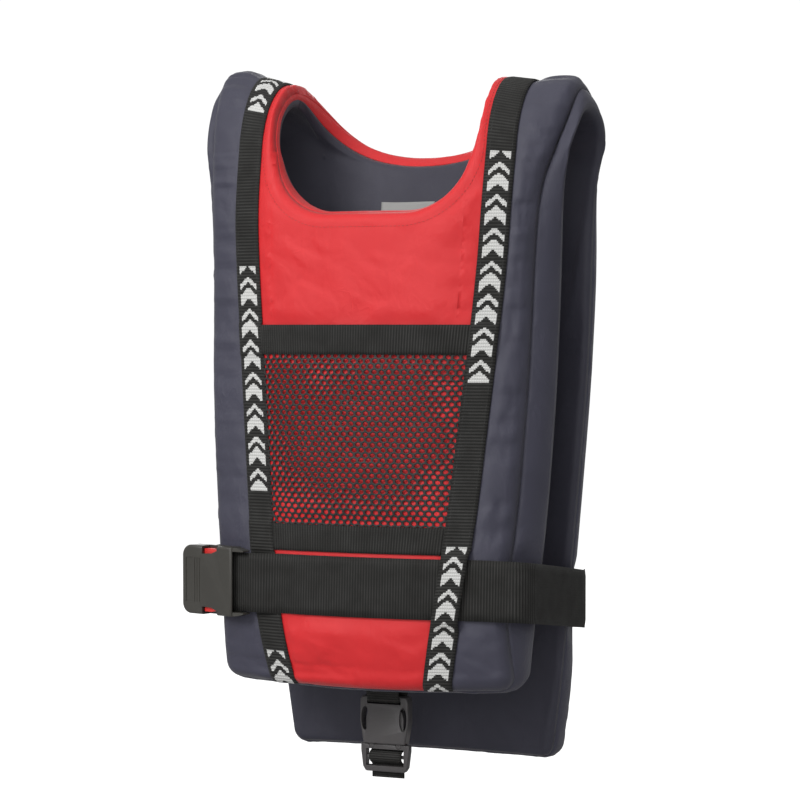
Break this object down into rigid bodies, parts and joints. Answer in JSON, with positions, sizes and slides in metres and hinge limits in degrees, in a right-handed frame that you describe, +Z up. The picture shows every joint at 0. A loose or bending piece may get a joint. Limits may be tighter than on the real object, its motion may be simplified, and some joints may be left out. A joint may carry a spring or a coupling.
{
  "type": "buoyancy jacket",
  "caption": "Pullover foam buoyancy jacket with padded front and back, webbing over both shoulders, net pocket, waist belt and crotch strap with side-release buckles.",
  "frame": {"origin": "midway between the wearer's shoulders, at the lining under the crest of the shoulder pads", "axes": "+Z up along the wearer's body, -Y towards the front of the jacket, +X towards the viewer's right when looking at its front"},
  "size_m": [0.3303, 0.2098, 0.6119],
  "materials": {
    "red_fabric": "woven nylon with a soft sheen",
    "navy_fabric": "woven nylon with a soft sheen",
    "lining_fabric": "matt woven nylon",
    "foam": "soft closed-cell foam",
    "strap_webbing": "ribbed webbing with woven pale chevrons",
    "belt_webbing": "ribbed webbing",
    "pocket_mesh": "open knitted net",
    "buckle_black": "moulded acetal, satin",
    "buckle_red": "moulded acetal, satin",
    "buckle_grey": "moulded acetal, satin",
    "label_fabric": "printed-free woven label"
  },
  "bodies": {
    "back": {"back_foam": "foam", "back_lining": "lining_fabric", "back_gusset": "navy_fabric", "back_neck_edging": "red_fabric", "back_panel_centre": "red_fabric", "back_panel_left": "navy_fabric", "back_panel_right": "navy_fabric", "back_strap_left": "strap_webbing", "back_strap_right": "strap_webbing", "belt_back": "belt_webbing", "belt_side_right": "belt_webbing", "belt_left_rear_span": "belt_webbing", "size_label": "label_fabric", "crotch_strap_span": "belt_webbing"},
    "front": {"front_foam": "foam", "front_lining": "lining_fabric", "front_gusset": "navy_fabric", "front_neck_edging": "red_fabric", "front_panel_centre": "red_fabric", "front_panel_left": "navy_fabric", "front_panel_right": "navy_fabric", "front_strap_left": "strap_webbing", "front_strap_right": "strap_webbing", "pocket_net": "pocket_mesh", "pocket_top_band": "belt_webbing", "pocket_bottom_band": "belt_webbing", "belt_front": "belt_webbing", "belt_buckle_socket": "buckle_black", "belt_left_front_span": "belt_webbing", "crotch_web_loop": "belt_webbing", "crotch_buckle_socket": "buckle_grey", "crotch_strap_run": "belt_webbing"},
    "belt_plug": {"belt_buckle_frame": "buckle_red", "belt_end_loop": "belt_webbing"},
    "belt_lever_upper": {"belt_lever_upper": "buckle_red"},
    "belt_lever_lower": {"belt_lever_lower": "buckle_red"},
    "crotch_plug": {"crotch_ladder_lock": "buckle_grey", "crotch_strap_tail": "belt_webbing"},
    "crotch_lever_left": {"crotch_lever_left": "buckle_grey"},
    "crotch_lever_right": {"crotch_lever_right": "buckle_grey"}
  },
  "joints": [
    {"name": "front_panel_swing", "type": "hinge", "parent": "back", "child": "front", "pos_m": [0, 0, 0.036], "axis": [-1, 0, 0], "range_deg": [0, 10], "deforming": ["belt_side_right", "belt_left_front_span", "belt_left_rear_span", "crotch_strap_run", "crotch_strap_span"]},
    {"name": "belt_buckle_release", "type": "slide", "parent": "front", "child": "belt_plug", "axis": [-0.9659, 0.2588, 0], "range_m": [0, 0.046], "deforming": ["belt_left_front_span", "belt_left_rear_span"]},
    {"name": "belt_lever_upper_squeeze", "type": "hinge", "parent": "belt_plug", "child": "belt_lever_upper", "pos_m": [-0.14671, -0.07387, -0.3895], "axis": [-0.2588, -0.9659, 0], "range_deg": [-8, 0], "stiffness_Nm_per_rad": 0.3},
    {"name": "belt_lever_lower_squeeze", "type": "hinge", "parent": "belt_plug", "child": "belt_lever_lower", "pos_m": [-0.14671, -0.07387, -0.4265], "axis": [-0.2588, -0.9659, 0], "range_deg": [0, 8], "stiffness_Nm_per_rad": 0.3},
    {"name": "crotch_buckle_release", "type": "slide", "parent": "front", "child": "crotch_plug", "axis": [0, 0, -1], "range_m": [0, 0.034], "deforming": ["crotch_strap_run", "crotch_strap_span"]},
    {"name": "crotch_lever_left_squeeze", "type": "hinge", "parent": "crotch_plug", "child": "crotch_lever_left", "pos_m": [-0.0125, -0.016, -0.5504], "axis": [0, -1, 0], "range_deg": [-7, 0], "stiffness_Nm_per_rad": 0.3},
    {"name": "crotch_lever_right_squeeze", "type": "hinge", "parent": "crotch_plug", "child": "crotch_lever_right", "pos_m": [0.0125, -0.016, -0.5504], "axis": [0, -1, 0], "range_deg": [0, 7], "stiffness_Nm_per_rad": 0.3}
  ],
  "couplings": [
    {"joint": "belt_lever_lower_squeeze", "follows": "belt_lever_upper_squeeze", "ratio": -1},
    {"joint": "crotch_lever_right_squeeze", "follows": "crotch_lever_left_squeeze", "ratio": -1}
  ]
}
